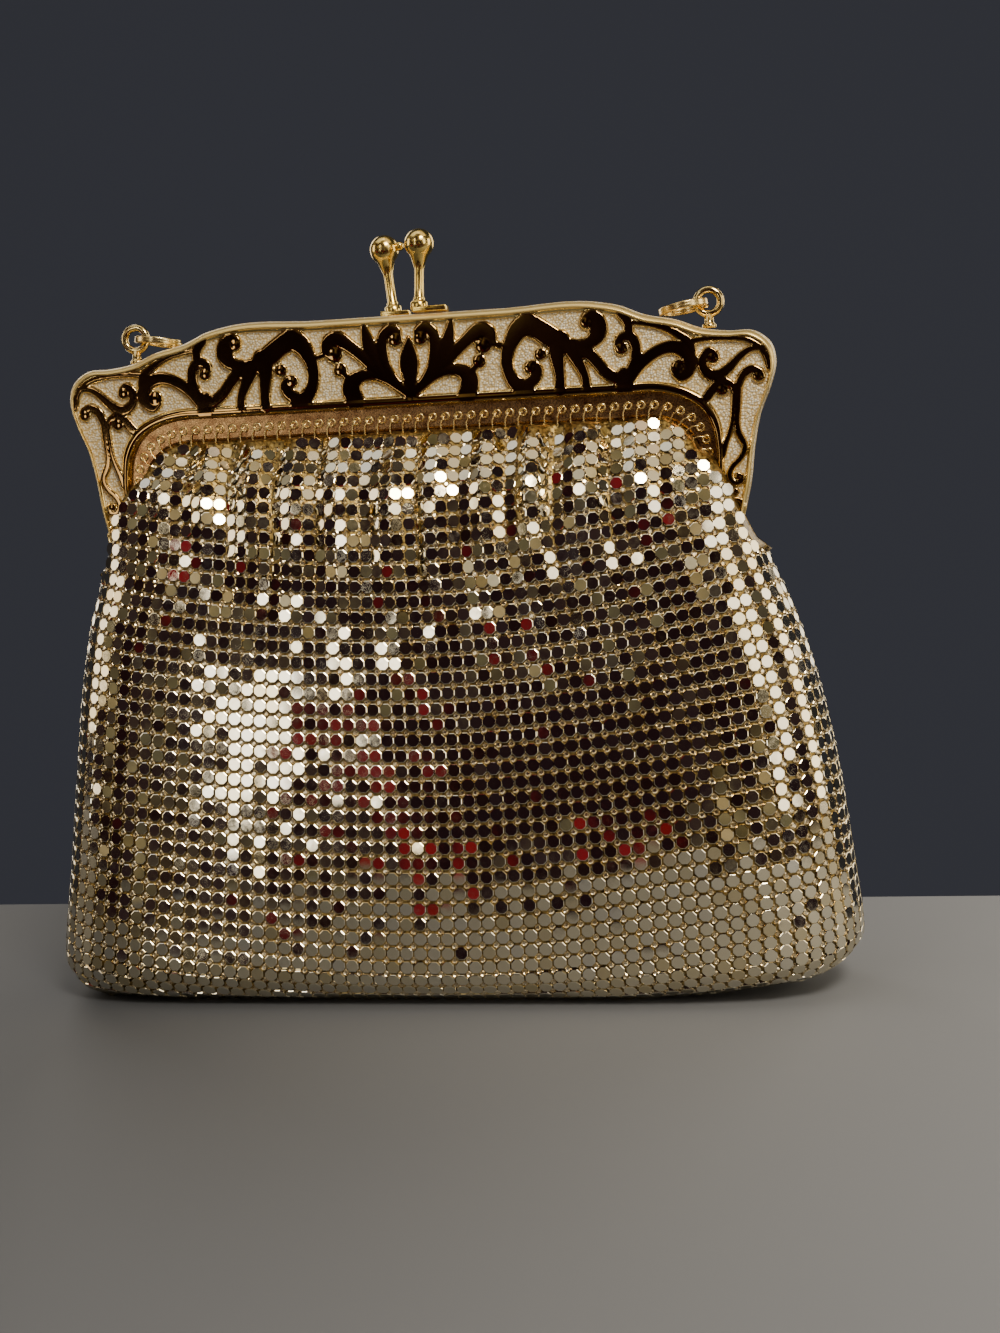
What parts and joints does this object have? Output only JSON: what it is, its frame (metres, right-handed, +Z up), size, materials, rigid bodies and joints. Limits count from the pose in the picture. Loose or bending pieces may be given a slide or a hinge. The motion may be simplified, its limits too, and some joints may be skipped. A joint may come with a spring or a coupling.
{
  "type": "metal mesh purse",
  "caption": "Gold-tone metal mesh purse with a hinged scrollwork frame, a kiss clasp with ball knobs and chain eyes with split rings, standing on its flat base.",
  "frame": {"origin": "centre of the flat base of the bag, on the surface it stands on", "axes": "+X to the viewer's right along the frame, -Y towards the viewer (the front), +Z up"},
  "size_m": [0.176, 0.044, 0.1619],
  "materials": {
    "frame_casting": "polished gold-tone plate on a cast frame, satin ground",
    "clasp": "polished gold-tone plate",
    "rivets": "satin gold-tone plate",
    "rings": "polished gold-tone wire",
    "mesh": "bright pale gold plaques and link rings"
  },
  "bodies": {
    "root": {"frame_front": "frame_casting", "frame_back": "frame_casting", "knob_front": "clasp", "knob_back": "clasp", "hinge_rivet_left": "rivets", "hinge_rivet_right": "rivets", "chain_eye_left": "frame_casting", "chain_eye_right": "frame_casting", "split_ring_left": "rings", "split_ring_right": "rings", "mesh_bag": "mesh"}
  },
  "joints": []
}
